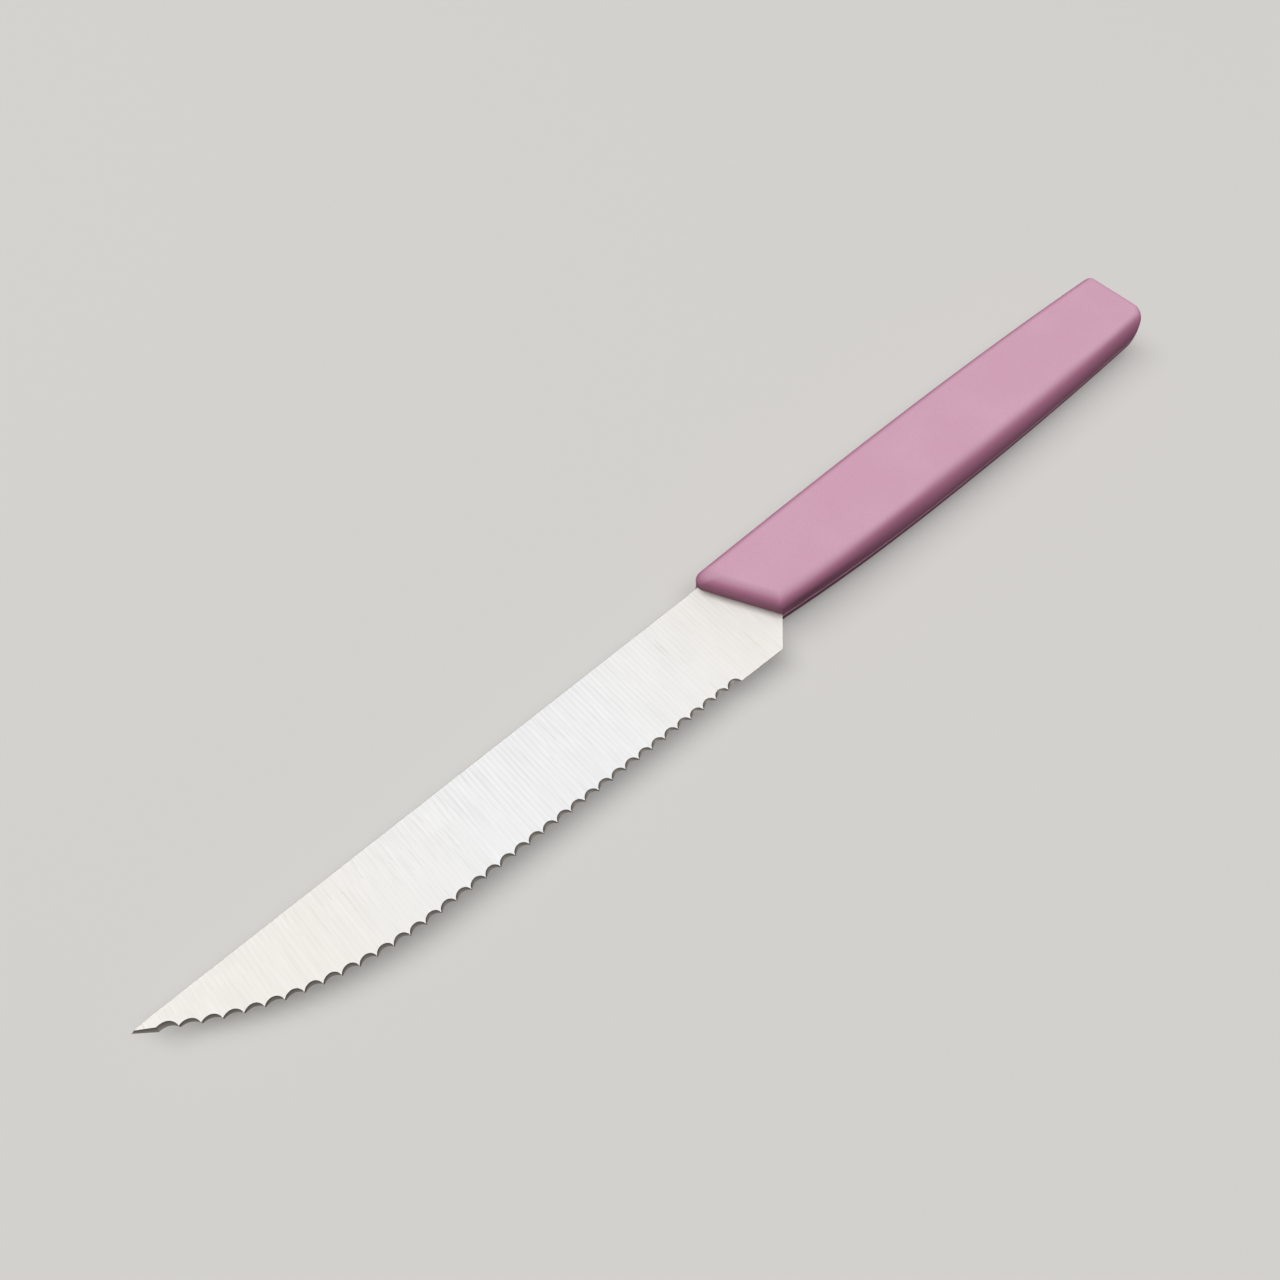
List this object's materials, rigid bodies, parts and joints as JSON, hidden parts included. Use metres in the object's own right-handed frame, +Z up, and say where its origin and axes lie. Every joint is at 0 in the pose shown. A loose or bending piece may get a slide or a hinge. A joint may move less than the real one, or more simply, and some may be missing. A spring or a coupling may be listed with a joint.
{
  "type": "steak knife",
  "caption": "Serrated steak knife with a straight spine, a taper-ground scalloped steel blade, a slanted handle front and a slim moulded plastic handle.",
  "frame": {"origin": "middle of the knife's bounding box in X and Y, on the surface that the handle lies on", "axes": "+X along the blade towards its tip, +Y from the spine towards the cutting edge, +Z up from the surface, with the knife lying on the right side of its handle"},
  "size_m": [0.2244, 0.021, 0.0104],
  "materials": {
    "blade_steel": "cross-ground satin, with a plain ground edge",
    "handle_plastic": "fine satin moulding, dusty mauve pink"
  },
  "bodies": {
    "root": {"blade": "blade_steel", "handle_left_shell": "handle_plastic", "handle_right_shell": "handle_plastic"}
  },
  "joints": []
}
